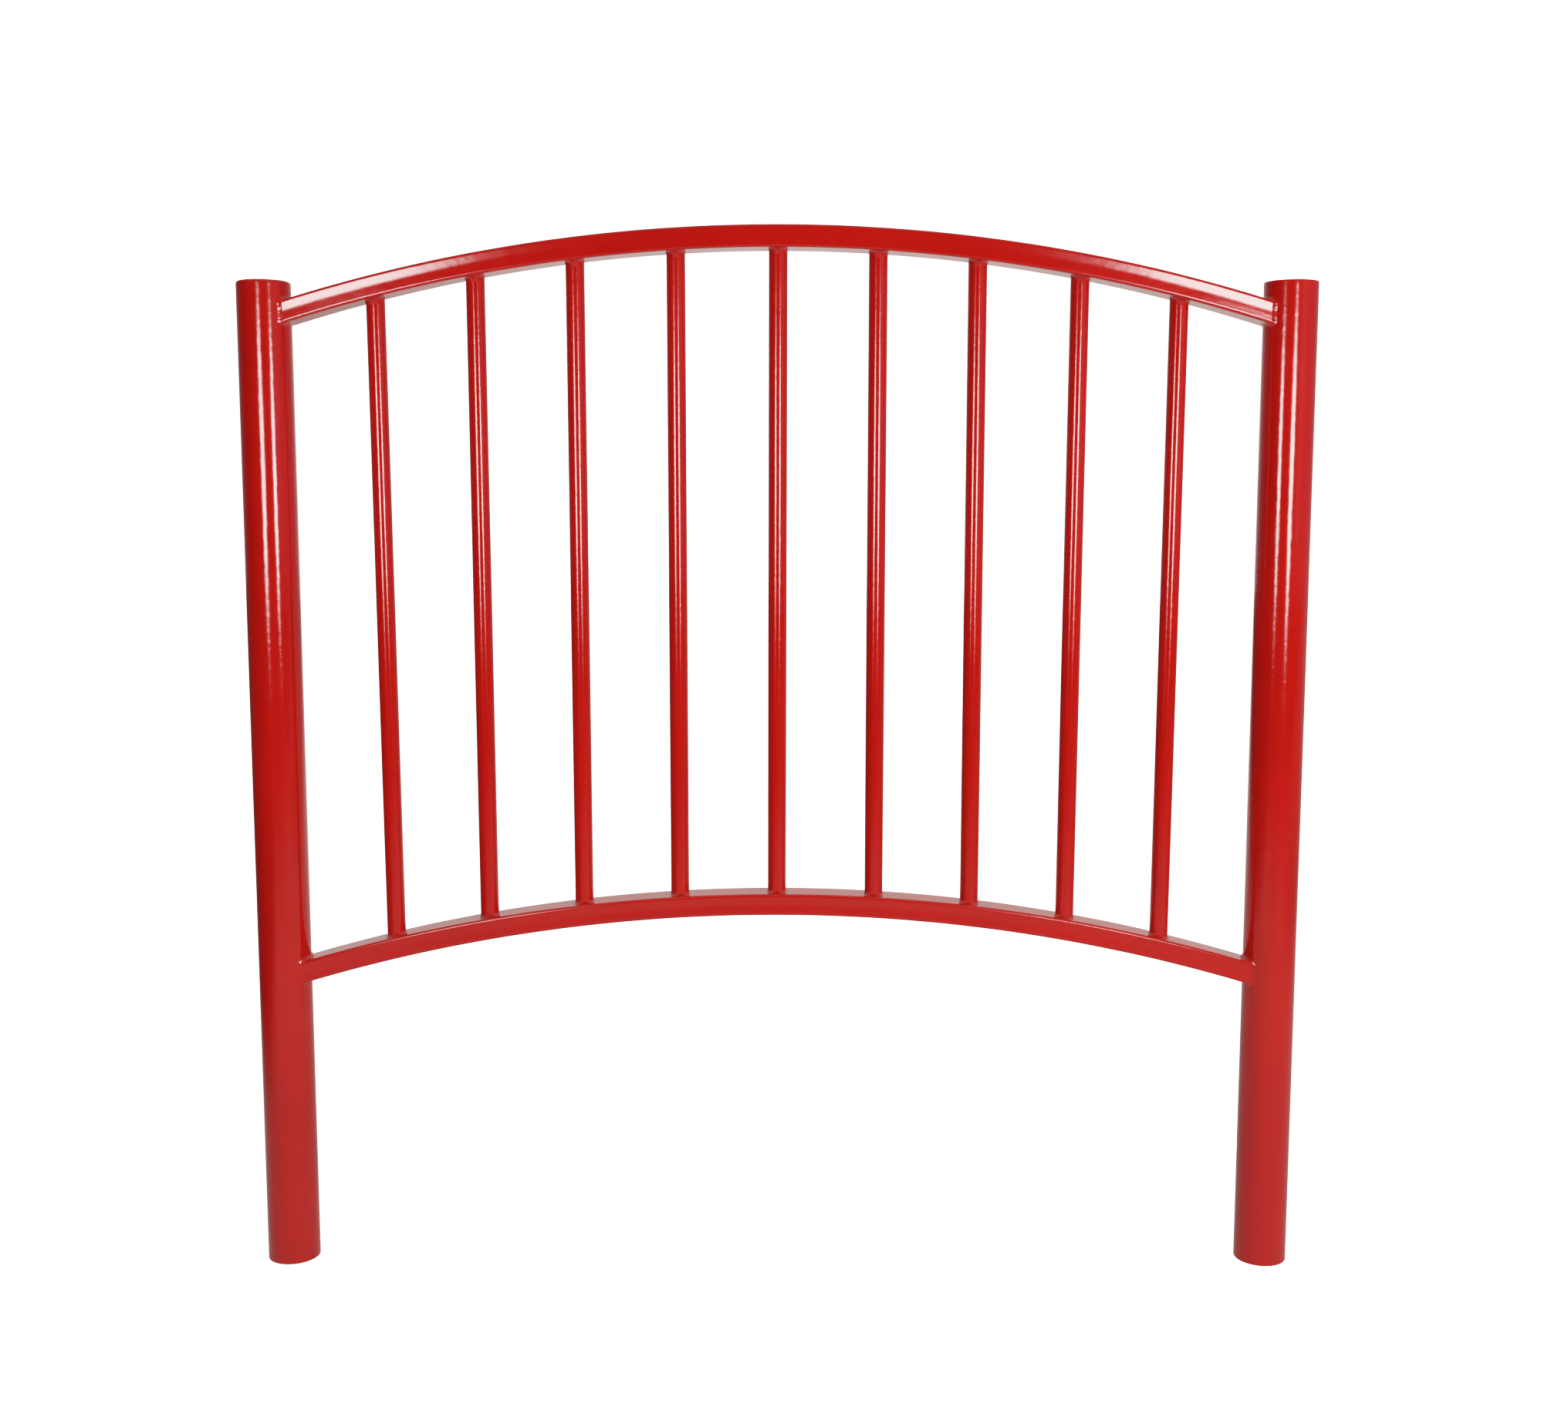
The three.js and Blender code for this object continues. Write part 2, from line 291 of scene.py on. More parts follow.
def post_piece(side, sign, seed):
    zt = HP - CAP
    ri = RP - WALL
    e = 0.0006                                   # softened cut edge at the foot
    outer = [(RP - e, 0.0), (RP - e * 0.7, e * 0.09), (RP - e * 0.29, e * 0.29), (RP - e * 0.09, e * 0.7), (RP, e), (RP, 0.0016)]
    zs = np.linspace(0.006, zt - 0.002, 200)
    outer += [(RP, z) for z in zs] + [(RP, zt - 0.00008), (RP, zt)]
    inner = [(ri, zt)] + [(ri, z) for z in np.linspace(zt - 0.02, 0.006, 40)]
    inner += [(ri, 0.0016), (ri, e * 0.8), (ri + e * 0.24, e * 0.24), (ri + e * 0.8, 0.0)]
    foot = [(ri + 0.0012, 0.0), (RP - 0.0012, 0.0)]
    prof = outer + inner + foot
    v = lathe_loop(prof, 144)
    v[..., 0] += sign * S
    # the drawn tube is not quite true: long shallow waves in its wall
    k = np.zeros(len(prof))
    k[5:5 + len(zs) + 3] = 1.0
    q = v * np.array([1, 1, 0.35])
    wob = 0.5 * waves(q, 0.030, seed) + 0.5 * waves(v * np.array([1, 1, 0.5]), 0.012, seed + 1) * 0.35
    fade = smooth(0.0, 0.02, v[..., 2]) * smooth(0.0, 0.006, zt - v[..., 2])
    dr = (-0.00003 + 0.00003 * np.clip(wob, -1, 1)) * k[:, None] * fade
    cx = v[..., 0] - sign * S
    rad = np.hypot(cx, v[..., 1])
    v[..., 0] += cx / rad * dr
    v[..., 1] += v[..., 1] / rad * dr
    edge = np.zeros(v.shape[:2])
    edge[:5] = 1.0
    edge[-5:] = 1.0
    edge += (1 - smooth(0.0, 0.03, v[..., 2])) * 0.4
    ob = torus(f"post_{side}_tube", v, post_paint, {"edge": np.clip(edge, 0, 1)})
    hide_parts(f"post_{side}")
    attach(ob, "root")


def cap_piece(side, sign, edge_r, seed):
    """Welded disc, dressed flush with the tube and rounded over its rim."""
    z0, sides = HP - CAP, 144
    prof = [(RP, z0), (RP, z0 + 0.00008)]
    for i in range(13):
        t = i / 12 * math.pi / 2
        prof.append((RP - edge_r + edge_r * math.cos(t), HP - edge_r + edge_r * math.sin(t)))
    for r in (0.9, 0.85, 0.78, 0.7, 0.6, 0.5, 0.4, 0.3, 0.2, 0.1):
        prof.append((RP * r if RP * r < RP - edge_r - 0.0004 else RP - edge_r - 0.0004, HP))
    prof = prof[:15] + [q for q in prof[15:] if q[0] < RP - edge_r]
    v = lathe_loop(prof, sides)
    a = np.arctan2(v[..., 1], v[..., 0]) / (2 * np.pi) + 0.5
    rad = np.hypot(v[..., 0], v[..., 1])
    # the disc sags a hair towards its middle and its rim was ground by hand
    sag = 0.00012 * (1 - (rad / RP) ** 2)
    rim = smooth(RP - edge_r * 2.2, RP - edge_r * 0.3, rad) * smooth(HP - edge_r * 1.2, HP - edge_r * 0.2, v[..., 2])
    grind = 0.00007 * (1 + ring_noise(a, 9, seed)) * rim
    v[..., 2] -= sag * smooth(HP - 0.0012, HP, v[..., 2]) + grind
    top = len(prof)
    verts = np.concatenate([v.reshape(-1, 3), [[0, 0, HP - 0.00013]], [[0, 0, z0]]])
    faces = []
    for i in range(top - 1):
        for j in range(sides):
            j2 = (j + 1) % sides
            faces.append((i * sides + j, i * sides + j2, (i + 1) * sides + j2, (i + 1) * sides + j))
    ct, cb = top * sides, top * sides + 1
    for j in range(sides):
        j2 = (j + 1) % sides
        faces.append(((top - 1) * sides + j, (top - 1) * sides + j2, ct))
        faces.append((j2, j, cb))
    verts[:, 0] += sign * S
    r = np.hypot(verts[:, 0] - sign * S, verts[:, 1])
    edge = smooth(RP - edge_r * 1.6, RP - edge_r * 0.4, r) * smooth(HP - edge_r, HP - edge_r * 0.3, verts[:, 2])
    ob = make_object(f"post_cap_{side}_disc", verts, faces, cap_paint, {"edge": edge})
    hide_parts(f"post_cap_{side}")
    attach(ob, "root")


post_piece("left", -1, 11)
post_piece("right", 1, 21)
cap_piece("left", -1, 0.0037, 31)
cap_piece("right", 1, 0.0012, 41)


# ----------------------------------------------------------------------- rails
def rail_profile():
    """Closed section as (y, u, edge). The side walls draw in a little along
    their middle, as they do when box section is rolled to a curve."""
    up, lo = math.radians(4.0), math.radians(1.6)
    r = RC
    pts = []
    for y in np.linspace(0, -(D - r) + 0.0006, 9):
        pts.append((y, H, 0))
    cy, cu = -(D - r), H - r
    n = 9
    for i in range(n + 1):
        t = math.radians(90) + (-up - math.radians(90)) * i / n
        pts.append((cy - r * math.cos(t), cu + r * math.sin(t), math.sin(math.pi * i / n)))
    y, u = pts[-1][:2]
    u_end = -(H - r) + r * math.sin(lo)
    us = np.linspace(u, u_end, 25)

    def slope(w):
        k = smooth(-0.002, 0.0035, w)
        return (1 - k) * math.tan(lo) - k * math.tan(up)
    for a, b in zip(us[:-1], us[1:]):
        y += slope((a + b) / 2) * (b - a)
        pts.append((y, b, 0))
    cy2, cu2 = y + r * math.cos(lo), u_end - r * math.sin(lo)
    for i in range(1, n + 1):
        t = lo + (-math.radians(90) - lo) * i / n
        pts.append((cy2 - r * math.cos(t), cu2 + r * math.sin(t), math.sin(math.pi * i / n)))
    for yy in np.linspace(pts[-1][0] + 0.0006, 0, 9):
        pts.append((yy, pts[-1][1] if abs(yy) > 0.0165 else -H, 0))
    half = pts
    back = [(-a, b, c) for a, b, c in half[-2:0:-1]]
    return np.array(half + back)


PROFILE = rail_profile()


def profile_normals(p):
    d = np.roll(p, -1, 0)[:, :2] - np.roll(p, 1, 0)[:, :2]
    nrm = np.stack([d[:, 1], -d[:, 0]], 1)
    nrm /= np.linalg.norm(nrm, axis=1)[:, None]
    if (nrm * p[:, :2]).sum() < 0:
        nrm = -nrm
    return nrm


NORMALS = profile_normals(PROFILE)


def rail_piece(name, arch, seed, lean=0.0):
    p, nrm = PROFILE, NORMALS
    stations = 300

    def skin(y, u, count, embed):
        xe = S - np.sqrt(RP ** 2 - y ** 2) + embed
        th = np.arcsin(xe / (arch.r + u))
        t = np.linspace(-1, 1, count)[:, None]
        ang = t * th[None, :]
        v = np.empty((count, len(y), 3))
        v[..., 0] = (arch.r + u) * np.sin(ang)
        v[..., 1] = y
        v[..., 2] = arch.c + (arch.r + u) * np.cos(ang)
        return v

    outer = skin(p[:, 0], p[:, 1], stations, 0.0004)
    # shallow unevenness from rolling, always inwards
    s = outer * np.array([1.0, 1.6, 1.6])
    dent = 0.00005 * (1 + np.clip(waves(s, 0.090, seed), -1, 1)) + 0.000012 * (1 + np.clip(waves(s, 0.022, seed + 1), -1, 1))
    mid = smooth(0.0, 0.0035, np.minimum(D - np.abs(p[:, 0]) + 0.0005, 1.0)) * 0.6 + 0.4
    th = np.arctan2(outer[..., 0], outer[..., 2] - arch.c)
    nx = nrm[:, 1] * np.sin(th)
    nz = nrm[:, 1] * np.cos(th)
    k = dent * mid
    outer[..., 0] -= nx * k
    outer[..., 1] -= nrm[:, 0] * k
    outer[..., 2] -= nz * k
    # the lower half of the front leans in a little where the right end was pulled to the curve
    low = smooth(-0.0015, -0.0060, p[:, 1])[None, :] * (np.abs(p[:, 0]) > 0.012)[None, :]
    pull = lean * smooth(0.455, 0.575, outer[..., 0]) * low * (outer[..., 1] < 0)
    outer[..., 1] += pull * math.tan(math.radians(1.5)) * np.clip(-0.0015 - p[:, 1], 0, 0.0095)[None, :]
    yi, ui = p[:, 0] - nrm[:, 0] * RW, p[:, 1] - nrm[:, 1] * RW
    inner = skin(yi, ui, 60, 0.0003)[::-1]
    v = np.concatenate([outer, inner])
    edge = np.concatenate([np.repeat(p[None, :, 2], stations, 0), np.zeros((60, len(p)))])
    spat = smooth(0.034, 0.014, S - RP - np.abs(v[..., 0]))
    mark = np.full(v.shape[:2], 0.10)
    mark[:stations] += 0.7 * pull
    ob = torus(f"{name}_tube", v, rail_paint,
               {"edge": edge, "spat": spat, "mark": mark, "across": np.repeat(p[None, :, 1], len(v), 0)})
    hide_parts(name)
    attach(ob, "root")


rail_piece("top_rail", TOP, 51, lean=1.0)
rail_piece("bottom_rail", BOT, 61)


# ------------------------------------------------------------------------ bars
def bar_frame(i):
    low = np.array([XB[i], 0.0, float(BOT.z(XB[i]))])
    high = np.array([XT[i], 0.0, float(TOP.z(XT[i]))])
    axis = (high - low) / np.linalg.norm(high - low)
    side = np.array([axis[2], 0.0, -axis[0]])
    return low, axis, side


def bar_piece(i, seed):
    low, axis, side = bar_frame(i)
    sides = 96
    a = np.linspace(0, 2 * np.pi, sides, endpoint=False)

    def reach(radius, arch, off, embed):
        q = low + radius * (np.cos(a)[:, None] * side + np.sin(a)[:, None] * np.array([0, 1.0, 0]))
        qx, qz = q[:, 0], q[:, 2] - arch.c
        rho = arch.r + off
        b = qx * axis[0] + qz * axis[2]
        c = qx ** 2 + qz ** 2 - rho ** 2
        return -b + np.sqrt(b * b - c) + embed, q

    def wall(radius, count):
        t0, q = reach(radius, BOT, H, -0.0006)
        t1, _ = reach(radius, TOP, -H, 0.0006)
        s = np.linspace(0, 1, count)[:, None]
        t = t0 + (t1 - t0) * s
        return q[None] + t[..., None] * axis

    outer = wall(RB, 170)
    mid = low + axis * ((outer - low) @ axis)[..., None]
    out = (outer - mid) / RB
    q = outer * np.array([1, 1, 0.4])
    dr = 0.000022 * (-1 + np.clip(0.7 * waves(q, 0.026, seed) + 0.3 * waves(outer, 0.010, seed + 1), -1, 1))
    outer = outer + out * dr[..., None]
    inner = wall(RB - BW, 40)[::-1]
    v = np.concatenate([outer, inner])
    ob = torus(f"bar_{i + 1}_tube", v, bar_paint, {"edge": np.zeros(v.shape[:2])})
    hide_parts(f"bar_{i + 1}")
    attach(ob, "root")


for i in range(9):
    bar_piece(i, 100 + 7 * i)


# ----------------------------------------------------------- welds at the bars
def rail_face_drop(y):
    """How far the rail's flat face has fallen away at depth y, by its corner."""
    over = np.clip(np.abs(y) - (D - RC), 0, RC * 0.999)
    return RC - np.sqrt(RC ** 2 - over ** 2)


def bar_weld(i, end, seed):
    low, axis, side = bar_frame(i)
    arch, off, up = (TOP, -H, -1.0) if end == "top" else (BOT, H, 1.0)
    xa = XT[i] if end == "top" else XB[i]
    for _ in range(6):
        xa = low[0] + (float(arch.z(xa, off)) - low[2]) * axis[0] / axis[2]
    n, m = 132, 17
    t = np.linspace(0, 1, n, endpoint=False)
    a = 2 * np.pi * t
    ax, ay, sq = (RB + 0.0010, RB + 0.0064, 2.0) if end == "top" else (RB + 0.0013, RB + 0.0084, 2.2)
    reach = ((np.abs(np.cos(a)) / ax) ** sq + (np.abs(np.sin(a)) / ay) ** sq) ** (-1 / sq)
    leg = (reach - RB) * (1 + 0.05 * ring_noise(t, 5, seed)) + 0.00010 * ring_noise(t, 11, seed + 1)
    leg = np.minimum(leg, (0.0195 / np.maximum(np.abs(np.sin(a)), 1e-3)) - RB)
    rise = (0.0026 + (0.0044 if end == "top" else 0.0022) * np.sin(a) ** 2) * (1 + 0.07 * ring_noise(t, 5, seed + 2)) + 0.00012 * ring_noise(t, 11, seed + 3)
    v = np.empty((n, m + 3, 3))
    s = np.linspace(0, 1, m)

    def place(rho, h, k):
        x = xa + rho * np.cos(a)
        y = rho * np.sin(a)
        z = arch.z(x, off) - up * rail_face_drop(y) + up * h
        x = x + (z - float(arch.z(xa, off))) * axis[0] / axis[2]
        v[:, k] = np.stack([x, y, z], -1)

    pitch = ring_noise(t, 3, seed + 4) * 0.5
    sf = np.sin(a) ** 2
    for k in range(m):
        w = s[k]
        b0, b1, b2, b3 = (1 - w) ** 3, 3 * w * (1 - w) ** 2, 3 * w * w * (1 - w), w ** 3
        rho = RB + b0 * leg + b1 * (0.50 + 0.08 * sf) * leg + b2 * 0.10 * leg
        h = b1 * (0.04 + 0.12 * sf) * rise + b2 * 0.55 * rise + b3 * rise
        crest = math.sin(math.pi * w)
        beads = np.sin(2 * np.pi * (15 * t + pitch) + 1.4 * (w - 0.5)) * 0.00005 + ring_noise(t, 9, seed + 5) * 0.00009
        rho = rho + crest * beads * 0.7
        h = h + crest * beads * 0.7
        toe = 1 if k == 0 else -1 if k == m - 1 else 0     # the last rings lie under the paint
        place(rho + 0.0003 * toe, h - 0.0004 * toe, k)
    place(np.full(n, RB - 0.0007), rise * 0.9, m)
    place(np.full(n, RB - 0.0007), np.full(n, -0.0006), m + 1)
    place(RB + leg * 0.9, np.full(n, -0.0006), m + 2)
    edge = np.zeros((n, m + 3))
    edge[:, 3:m - 3] = 0.5
    ob = torus(f"weld_bar_{i + 1}_{end}_bead", v, weld_paint, {"edge": edge})
    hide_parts(f"weld_bar_{i + 1}_{end}")
    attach(ob, "root")


for i in range(9):
    bar_weld(i, "top", 300 + 17 * i)
    bar_weld(i, "bottom", 500 + 17 * i)


# ---------------------------------------------------------- welds at the posts
def post_weld(rail, arch, side, sign, seed):
    # resample the rail's outline evenly, fine enough for the ripples
    p = np.vstack([PROFILE[:, :2], PROFILE[:1, :2]])
    d = np.r_[0, np.cumsum(np.linalg.norm(np.diff(p, axis=0), axis=1))]
    n, m = 220, 19
    t = np.linspace(0, 1, n, endpoint=False)
    y = np.interp(t * d[-1], d, p[:, 0])
    u = np.interp(t * d[-1], d, p[:, 1])
    dy = np.roll(y, -1) - np.roll(y, 1)
    du = np.roll(u, -1) - np.roll(u, 1)
    ln = np.hypot(dy, du)
    ny, nu = du / ln, -dy / ln
    if (ny * y + nu * u).sum() < 0:
        ny, nu = -ny, -nu
    for _ in range(6):                         # soften the turn at the corners
        ny = (np.roll(ny, 1) + ny * 2 + np.roll(ny, -1)) / 4
        nu = (np.roll(nu, 1) + nu * 2 + np.roll(nu, -1)) / 4
    ln = np.hypot(ny, nu)
    ny, nu = ny / ln, nu / ln
    size = 0.0031 + 0.0014 * smooth(0.8, 1.0, nu) - 0.0004 * smooth(0.3, 1.0, -nu)
    a = size * (1 + 0.07 * ring_noise(t, 7, seed)) + 0.00007 * ring_noise(t, 17, seed + 1)
    b = size * (1.06 + 0.08 * ring_noise(t, 6, seed + 2)) + 0.00007 * ring_noise(t, 15, seed + 3)
    beta = np.arcsin(y / RP)
    x0 = S - RP * np.cos(beta)
    zp = arch.z(x0, u)

    def on_post(dist, lift):
        bb = beta + dist * ny / RP
        r = RP + lift
        x = S - r * np.cos(bb)
        return np.stack([x, r * np.sin(bb), zp + dist * nu], -1)

    def on_rail(dist, lift):
        x = x0 - dist
        uu, yy = u + nu * lift, y + ny * lift
        return np.stack([x, yy, arch.z(x, uu)], -1)

    A, B = on_rail(a, -0.00005), on_post(b, -0.00005)
    P = on_post(np.zeros(n), 0.0)
    outward = np.stack([-np.cos(beta), np.sin(beta) * 0.6 + ny, nu], -1)
    outward /= np.linalg.norm(outward, axis=1)[:, None]
    v = np.empty((n, m + 3, 3))
    kappa = 0.20 + 0.05 * ring_noise(t, 5, seed + 4)
    C = P + kappa[:, None] * ((A - P) + (B - P)) / 2
    crown = 0.00020 + 0.00007 * ring_noise(t, 8, seed + 5)
    phase = ring_noise(t, 4, seed + 6) * 0.5
    for k, w in enumerate(np.linspace(0, 1, m)):
        q = (1 - w) ** 2 * A + w ** 2 * B + 2 * w * (1 - w) * (P + 2 * (C - P) - 0.0 * C)
        hump = math.sin(math.pi * w)
        beads = np.sin(2 * np.pi * (27 * t + phase) + 2.2 * (w - 0.5) ** 2) * 0.000025 + ring_noise(t, 14, seed + 7) * 0.000035
        q = q + outward * (hump * (crown + beads))[:, None]
        v[:, k] = q
    v[:, 0], v[:, m - 1] = on_rail(a + 0.0003, -0.0004), on_post(b + 0.0003, -0.0004)
    v[:, m] = on_post(b * 0.85, -0.0008)
    v[:, m + 1] = P + np.array([0.0004, 0, 0]) - np.stack([0 * ny, ny, nu], -1) * 0.0008
    v[:, m + 2] = on_rail(a * 0.85, -0.0008)
    v[..., 0] *= sign
    edge = np.zeros((n, m + 3))
    edge[:, 4:m - 4] = 0.5
    ob = torus(f"weld_{rail}_{side}_bead", v, weld_paint, {"edge": edge})
    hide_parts(f"weld_{rail}_{side}")
    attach(ob, "root")


for rail, arch, s0 in (("top_rail", TOP, 700), ("bottom_rail", BOT, 760)):
    post_weld(rail, arch, "left", -1, s0)
    post_weld(rail, arch, "right", 1, s0 + 30)


# ------------------------------------------------------------- floor and light
# A seamless white sweep. What the camera sees of it is lit and also glows to an
# even white; what the paint mirrors is painted light instead, a glow laid out as
# white behind, grey near the feet, dim past the lamps in front.
floor_mat = bpy.data.materials.new("floor")
floor_mat.use_nodes = True
ft = floor_mat.node_tree
ft.nodes.clear()
fN, fL = ft.nodes.new, ft.links.new


def frange(socket, a, b, lo, hi):
    r = fN("ShaderNodeMapRange")
    r.interpolation_type = "SMOOTHSTEP"
    r.inputs["From Min"].default_value = a
    r.inputs["From Max"].default_value = b
    r.inputs["To Min"].default_value = lo
    r.inputs["To Max"].default_value = hi
    fL(socket, r.inputs["Value"])
    return r.outputs["Result"]


ftc = fN("ShaderNodeTexCoord")
fsep = fN("ShaderNodeSeparateXYZ")
fL(ftc.outputs["Object"], fsep.inputs[0])
flen = fN("ShaderNodeVectorMath")
flen.operation = "LENGTH"
fL(ftc.outputs["Object"], flen.inputs[0])
seen = fN("ShaderNodeBsdfDiffuse")
seen.inputs["Color"].default_value = (0.80, 0.80, 0.80, 1)
glow = fN("ShaderNodeEmission")
fL(frange(flen.outputs["Value"], 0.8, 5.0, 1.44, 1.66), glow.inputs["Strength"])
lit = fN("ShaderNodeAddShader")
fL(seen.outputs[0], lit.inputs[0])
fL(glow.outputs[0], lit.inputs[1])
# Painted light: in reflections the floor does not take light but glows, in a pattern painted to stand for the lamps'
# pool of light round the object and the bright wall behind.
painted_floor_glow = fN("ShaderNodeEmission")
painted_floor_glow.inputs["Color"].default_value = (1.0, 0.99, 0.94, 1)


def fmath(op, a, b):
    m = fN("ShaderNodeMath")
    m.operation = op
    for s, val in zip(m.inputs, (a, b)):
        if isinstance(val, (int, float)):
            s.default_value = val
        else:
            fL(val, s)
    return m.outputs[0]


# The painted glow is full from just in front of the object back past it, fades to dark further in front past the
# lamps, is stronger again behind, and is dimmer far to the left and far to the right.
near = frange(fsep.outputs["Y"], -3.6, -1.35, 0.02, 0.52)
far = frange(fsep.outputs["Y"], 0.2, 2.5, 0.0, 0.40)
near = fmath("MULTIPLY", near, frange(fsep.outputs["X"], -1.7, -0.9, 0.06, 1.0))
far = fmath("MULTIPLY", far, frange(fsep.outputs["X"], -2.6, -1.2, 0.06, 1.0))
width = frange(fsep.outputs["X"], 1.4, 2.6, 1.0, 0.4)
fL(fmath("MULTIPLY", fmath("ADD", near, far), width), painted_floor_glow.inputs["Strength"])
flp = fN("ShaderNodeLightPath")
fmix = fN("ShaderNodeMixShader")
fL(flp.outputs["Is Camera Ray"], fmix.inputs[0])
fL(painted_floor_glow.outputs[0], fmix.inputs[1])
fL(lit.outputs[0], fmix.inputs[2])
fout = fN("ShaderNodeOutputMaterial")
fL(fmix.outputs[0], fout.inputs["Surface"])
fm = bpy.data.meshes.new("floor")
fm.from_pydata([(-14, -14, 0), (14, -14, 0), (14, 14, 0), (-14, 14, 0)], [], [(0, 1, 2, 3)])
fm.materials.append(floor_mat)
floor = bpy.data.objects.new("floor", fm)
bpy.context.scene.collection.objects.link(floor)
floor.location.z = -0.0002

world = bpy.data.worlds.new("studio")
bpy.context.scene.world = world
world.use_nodes = True
wt = world.node_tree
wt.nodes.clear()
wN, wL = wt.nodes.new, wt.links.new
wtc = wN("ShaderNodeTexCoord")
wsep = wN("ShaderNodeSeparateXYZ")
wL(wtc.outputs["Generated"], wsep.inputs[0])


def wrange(socket, a, b, lo, hi):
    m = wN("ShaderNodeMapRange")
    m.interpolation_type = "SMOOTHSTEP"
    m.inputs["From Min"].default_value = a
    m.inputs["From Max"].default_value = b
    m.inputs["To Min"].default_value = lo
    m.inputs["To Max"].default_value = hi
    wL(socket, m.inputs["Value"])
    return m.outputs["Result"]


def wmath(op, a, b):
    m = wN("ShaderNodeMath")
    m.operation = op
    for s, val in zip(m.inputs, (a, b)):
        if isinstance(val, (int, float)):
            s.default_value = val
        else:
            wL(val, s)
    return m.outputs[0]


# White straight behind, falling off faster to the left than to the right; the
# side walls return a cooler light, and a soft panel hangs overhead.
ahead = wmath("MAXIMUM", wsep.outputs["Y"], 0.0)
left_env = wmath("ADD", wmath("MULTIPLY", wmath("POWER", ahead, 3.2), 0.88), wrange(wsep.outputs["Y"], -0.1, 0.25, 0.0, 0.07))
right_env = wmath("ADD", wmath("MULTIPLY", wmath("POWER", ahead, 4.0), 0.66), 0.26)
side = wrange(wsep.outputs["X"], 0.30, 0.65, 0.0, 1.0)
around = wmath("ADD", wmath("MULTIPLY", left_env, wmath("SUBTRACT", 1.0, side)), wmath("MULTIPLY", right_env, side))
above = wrange(wsep.outputs["Z"], 0.45, 0.95, 0.0, 0.55)
strength = wmath("ADD", wmath("ADD", around, above), 0.015)
wtint = wN("ShaderNodeMix")
wtint.data_type = "RGBA"
wL(wrange(wmath("ABSOLUTE", wsep.outputs["X"], 0.0), 0.55, 0.95, 0.0, 1.0), wtint.inputs["Factor"])
wtint.inputs[6].default_value = (1.0, 0.99, 0.94, 1)
wtint.inputs[7].default_value = (0.94, 0.98, 1.16, 1)
wbg = wN("ShaderNodeBackground")
wL(wtint.outputs[2], wbg.inputs["Color"])
wL(strength, wbg.inputs["Strength"])
wwhite = wN("ShaderNodeBackground")
wwhite.inputs["Color"].default_value = (1, 1, 1, 1)
wwhite.inputs["Strength"].default_value = 2.0
wlp = wN("ShaderNodeLightPath")
wmix = wN("ShaderNodeMixShader")
wL(wlp.outputs["Is Camera Ray"], wmix.inputs[0])
wL(wbg.outputs[0], wmix.inputs[1])
wL(wwhite.outputs[0], wmix.inputs[2])
wout = wN("ShaderNodeOutputWorld")
wL(wmix.outputs[0], wout.inputs["Surface"])


def softbox(name, place, aim, size, radiance, soft=0.62, tint=(1, 1, 1)):
    """Octabox: bright in the middle and falling away to its rim."""
    li = bpy.data.lights.new(name, "AREA")
    li.shape = "ELLIPSE"
    li.size, li.size_y = size
    li.energy = math.pi * (math.pi / 4 * size[0] * size[1]) * radiance
    li.color = tint
    li.use_nodes = True
    nt = li.node_tree
    em = nt.nodes["Emission"]
    geo = nt.nodes.new("ShaderNodeNewGeometry")
    sub = nt.nodes.new("ShaderNodeVectorMath")
    sub.operation = "SUBTRACT"
    sub.inputs[1].default_value = (0.5, 0.5, 0)
    nt.links.new(geo.outputs["Parametric"], sub.inputs[0])
    ln = nt.nodes.new("ShaderNodeVectorMath")
    ln.operation = "LENGTH"
    nt.links.new(sub.outputs[0], ln.inputs[0])
    mr = nt.nodes.new("ShaderNodeMapRange")
    mr.interpolation_type = "SMOOTHSTEP"
    mr.inputs["From Min"].default_value = 0.5 * (1 - soft)
    mr.inputs["From Max"].default_value = 0.49
    mr.inputs["To Min"].default_value = 1.0
    mr.inputs["To Max"].default_value = 0.0
    nt.links.new(ln.outputs["Value"], mr.inputs["Value"])
    nt.links.new(mr.outputs["Result"], em.inputs["Strength"])
    ob = bpy.data.objects.new(name, li)
    bpy.context.scene.collection.objects.link(ob)
    ob.location = place
    ob.rotation_euler = (Vector(aim) - Vector(place)).to_track_quat("-Z", "Y").to_euler()
    ob.visible_camera = False
    return ob


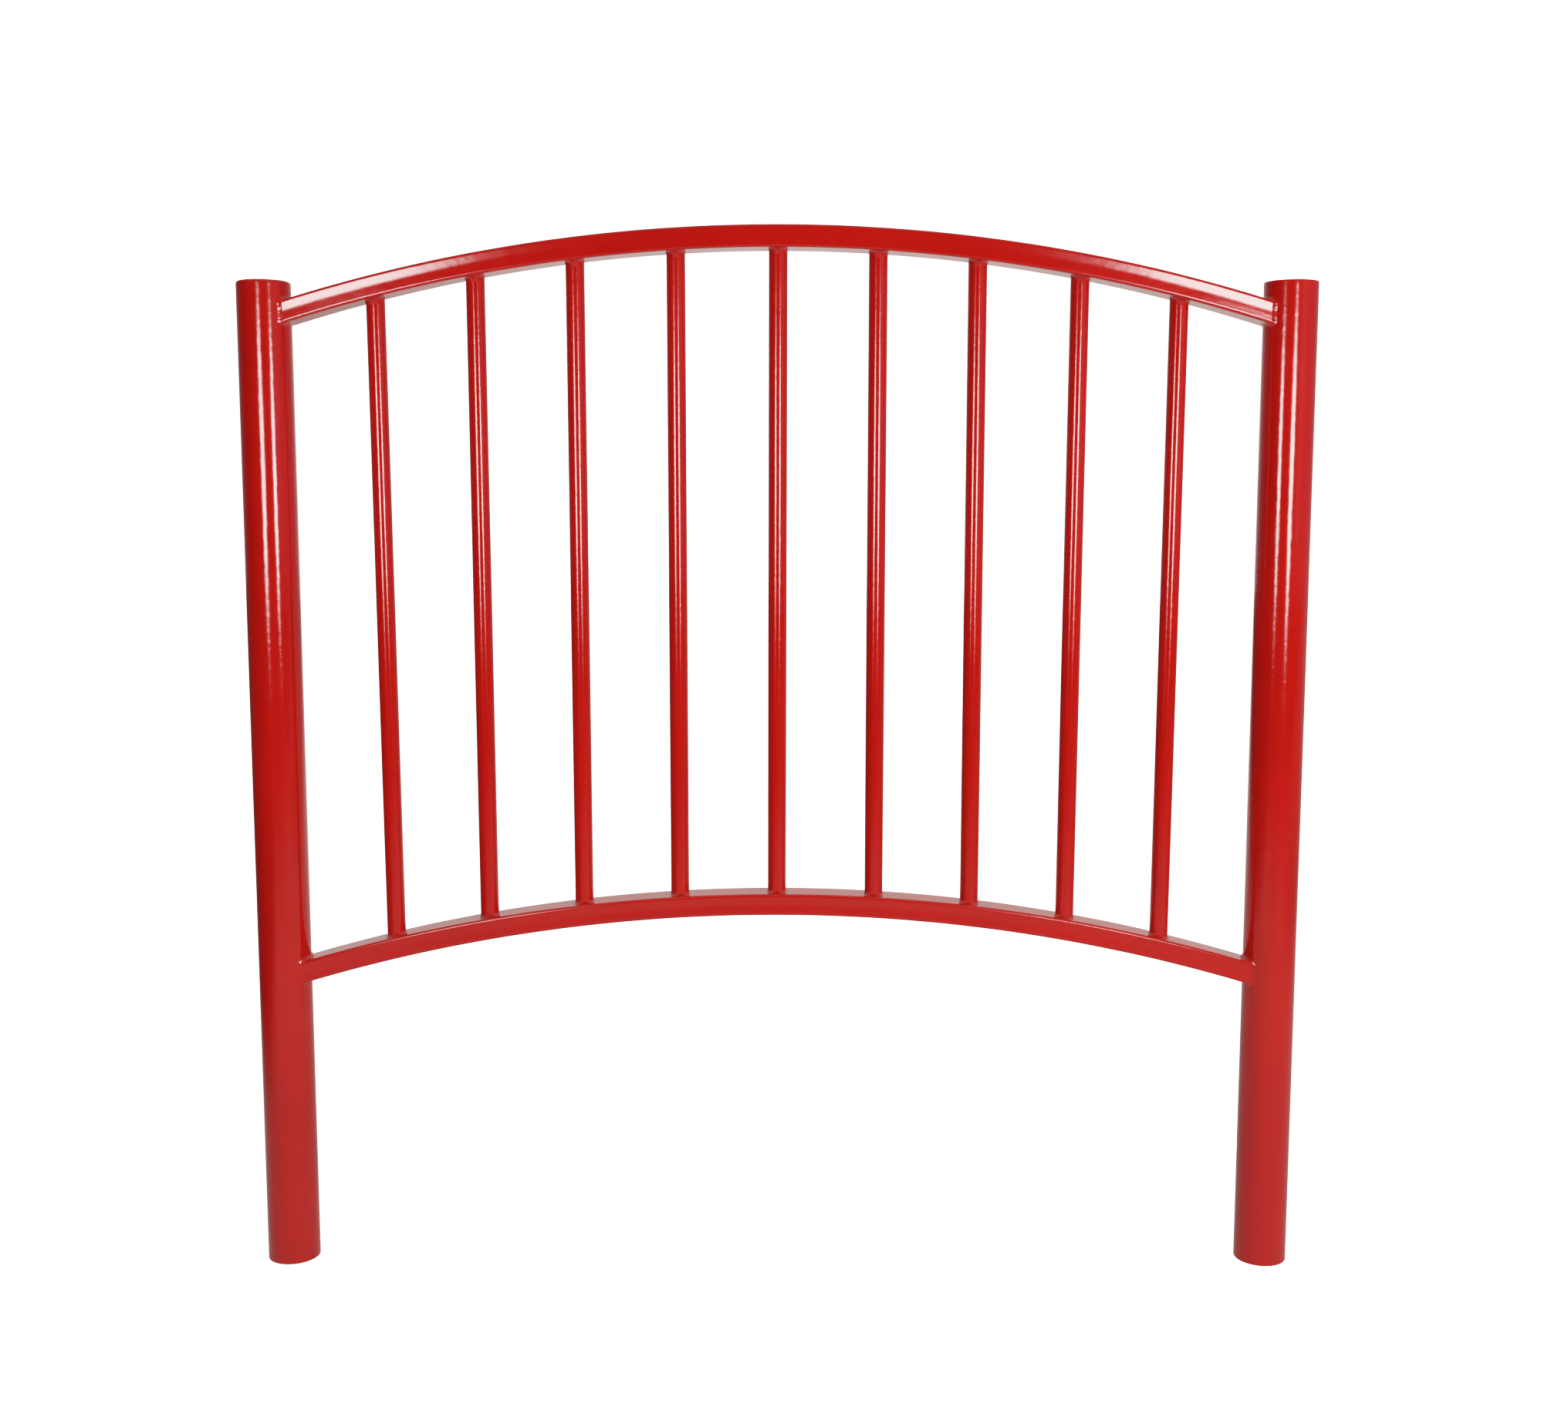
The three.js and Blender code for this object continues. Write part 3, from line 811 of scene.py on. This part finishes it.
softbox("softbox_left", (-0.86, -1.75, 0.975), (0, 0, 0.9), (0.73, 0.90), 21.5)
softbox("softbox_right", (0.92, -1.88, 0.965), (0, 0, 0.9), (0.75, 0.96), 24.0)
fill = softbox("fill_right", (1.90, -1.30, 1.20), (0.578, 0, 0.60), (1.30, 1.30), 7.8)
fill.visible_glossy = False                    # a broad bounce, too dim to read as a lamp
fill = softbox("fill_back", (0.30, 2.70, 1.30), (0, 0, 0.70), (1.90, 1.90), 5.8)
fill.visible_glossy = False

# ---------------------------------------------------------------------- camera
cam = bpy.data.cameras.new("camera")
cam.sensor_fit = "HORIZONTAL"
cam.sensor_width = 36.0
cam.lens = 36.0 * 2264.74 / 2032
cam.clip_start, cam.clip_end = 0.01, 100
eye = bpy.data.objects.new("camera", cam)
bpy.context.scene.collection.objects.link(eye)
pitch, yaw, roll = 0.1151, -0.0023, 0.0008
fwd = Vector((math.sin(yaw) * math.cos(pitch), math.cos(yaw) * math.cos(pitch), -math.sin(pitch)))
right = fwd.cross(Vector((0, 0, 1))).normalized()
upv = right.cross(fwd)
r2 = right * math.cos(roll) + upv * math.sin(roll)
u2 = upv * math.cos(roll) - right * math.sin(roll)
m = Matrix((r2, u2, -fwd)).transposed().to_4x4()
m.translation = Vector((0.01285, -2.00584, 0.89932))
eye.matrix_world = m
bpy.context.scene.camera = eye
bpy.context.scene.view_settings.view_transform = "Standard"
bpy.context.scene.view_settings.look = "None"
bpy.context.scene.view_settings.exposure = 0.0
bpy.context.scene.view_settings.gamma = 1.0
# Tone curve: straight to 0.42, then a soft shoulder that reaches white at 1.8.
vs = bpy.context.scene.view_settings
vs.use_curve_mapping = True
cm = vs.curve_mapping
cm.black_level, cm.white_level = (0, 0, 0), (1.8, 1.8, 1.8)
shoulder = [(0.0, 0.0), (0.2, 0.2), (0.42, 0.42), (0.52, 0.512), (0.62, 0.592), (0.74, 0.674), (0.88, 0.752),
            (1.04, 0.825), (1.22, 0.888), (1.42, 0.942), (1.6, 0.976), (1.8, 1.0)]
pts = cm.curves[3].points
while len(pts) < len(shoulder):
    pts.new(0.5, 0.5)
for q, (x, y) in zip(pts, shoulder):
    q.location = (x / 1.8, y)
    q.handle_type = "AUTO"
cm.update()
